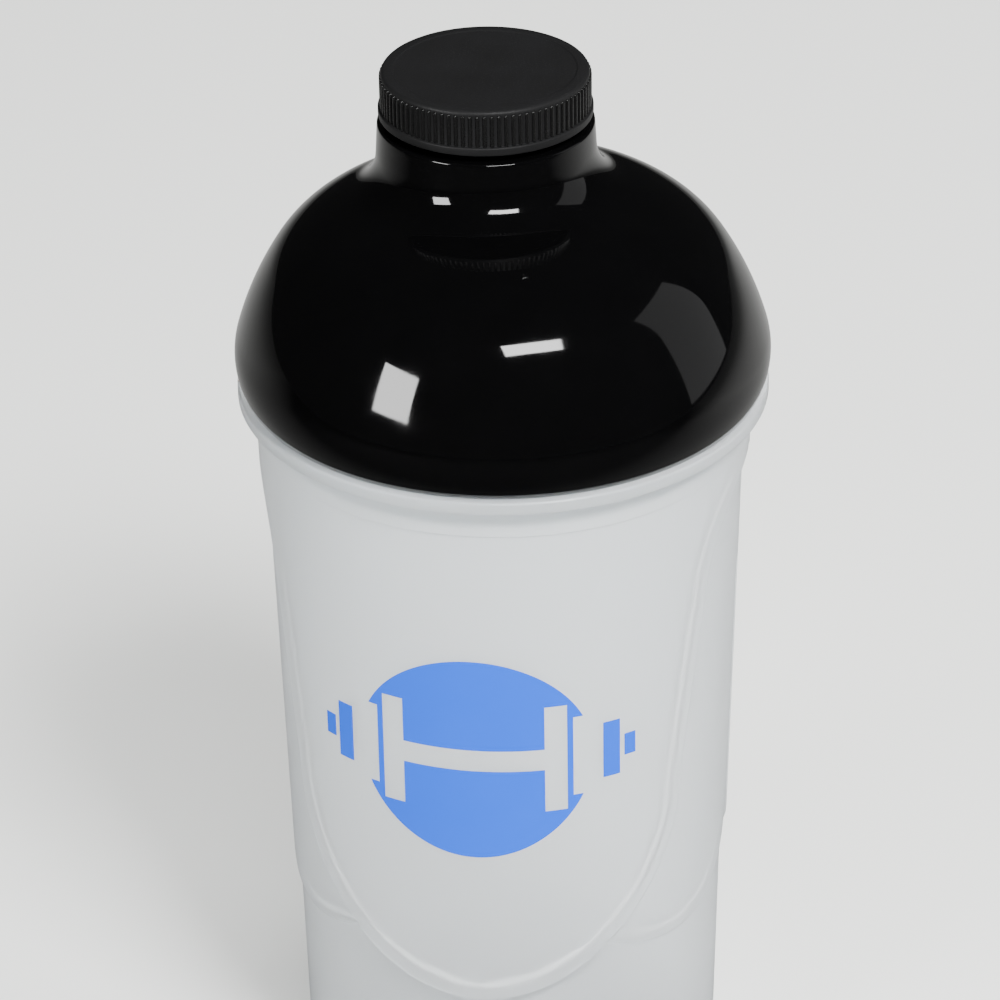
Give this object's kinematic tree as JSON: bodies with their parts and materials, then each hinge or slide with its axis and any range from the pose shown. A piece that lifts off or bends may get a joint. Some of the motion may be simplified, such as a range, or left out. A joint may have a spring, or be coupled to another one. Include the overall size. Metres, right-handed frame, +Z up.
{
  "type": "protein shaker bottle",
  "caption": "Translucent shaker cup with shaped grip panels, a glossy domed screw lid with an off-centre spout, a ribbed screw cap and a snap-in strainer.",
  "frame": {"origin": "centre of the base on the plane the bottle stands on", "axes": "+Z up through the bottle, -Y towards the front panel with the printed emblem, the spout set 2.5 mm towards -X"},
  "size_m": [0.0986, 0.0986, 0.2094],
  "materials": {
    "frosted_cup": "translucent frosted polypropylene, softly glossy",
    "gloss_lid": "high-gloss black polypropylene",
    "matte_cap": "fine-textured matte black polypropylene",
    "seal_foam": "soft white foamed polyethylene liner",
    "seal_silicone": "milky silicone rubber",
    "natural_strainer": "natural white polypropylene",
    "blue_ink": "satin pad-printed blue ink"
  },
  "bodies": {
    "cup": {"cup": "frosted_cup", "printed_mark": "blue_ink", "volume_scale": "blue_ink"},
    "lid_carrier": {"lid_gasket": "seal_silicone"},
    "dome_lid": {"dome_lid": "gloss_lid"},
    "strainer": {"strainer": "natural_strainer"},
    "cap_carrier": {"cap_seal": "seal_foam"},
    "screw_cap": {"screw_cap": "matte_cap"}
  },
  "joints": [
    {"name": "lid_lift", "type": "slide", "parent": "cup", "child": "lid_carrier", "axis": [0, 0, 1], "range_m": [0, 0.031]},
    {"name": "lid_spin", "type": "hinge", "parent": "lid_carrier", "child": "dome_lid", "pos_m": [0, 0, 0.152], "axis": [0, 0, 1], "range_deg": [0, 900]},
    {"name": "strainer_pull", "type": "slide", "parent": "dome_lid", "child": "strainer", "axis": [0, 0, -1], "range_m": [0, 0.016]},
    {"name": "cap_lift", "type": "slide", "parent": "dome_lid", "child": "cap_carrier", "axis": [0, 0, 1], "range_m": [0, 0.0125]},
    {"name": "cap_spin", "type": "hinge", "parent": "cap_carrier", "child": "screw_cap", "pos_m": [-0.0036, 0.0075, 0.205], "axis": [0, 0, 1], "range_deg": [0, 1080]}
  ],
  "couplings": [
    {"joint": "lid_lift", "follows": "lid_spin", "m_per_rad": 0.0019099},
    {"joint": "cap_lift", "follows": "cap_spin", "m_per_rad": 0.00063662}
  ]
}
